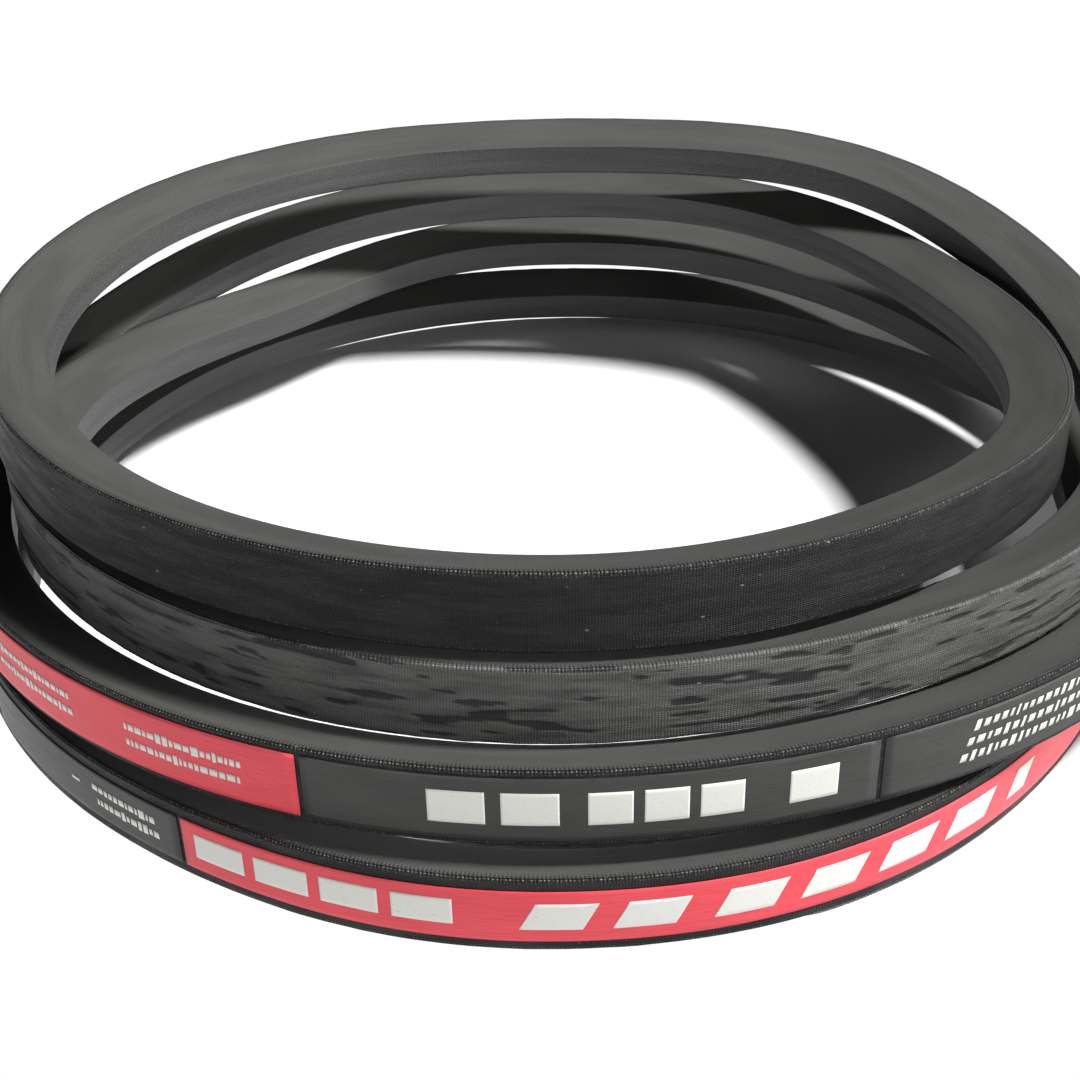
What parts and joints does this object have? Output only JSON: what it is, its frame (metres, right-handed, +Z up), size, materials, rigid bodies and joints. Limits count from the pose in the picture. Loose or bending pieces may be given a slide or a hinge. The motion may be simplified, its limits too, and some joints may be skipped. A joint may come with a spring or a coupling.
{
  "type": "v belt",
  "caption": "Endless wrapped wedge-section V-belt, coiled in four turns, with printed label films on its back.",
  "frame": {"origin": "middle of the coil's box in plan, on the plane that the coil lies on", "axes": "+Z up, along the coil's axis; -Y is the front, where the label films are"},
  "size_m": [0.2776, 0.2766, 0.0689],
  "materials": {
    "cover": "rubber-coated woven jacket, dull with a fine glint",
    "rubber": "matt black compression rubber",
    "cushion": "matt adhesion rubber",
    "cord": "treated polyester cord",
    "film_red": "printed red film, satin",
    "film_dark": "printed charcoal film, satin"
  },
  "bodies": {
    "root": {"cover_fabric": "cover", "top_rubber": "rubber", "upper_cushion_rubber": "cushion", "tension_cord_s_twist": "cord", "tension_cord_z_twist": "cord", "lower_cushion_rubber": "cushion", "base_rubber": "rubber", "red_label_film": "film_red", "dark_notice_film": "film_dark", "dark_standard_film": "film_dark", "dark_size_film": "film_dark", "red_notice_film": "film_red"}
  },
  "joints": []
}
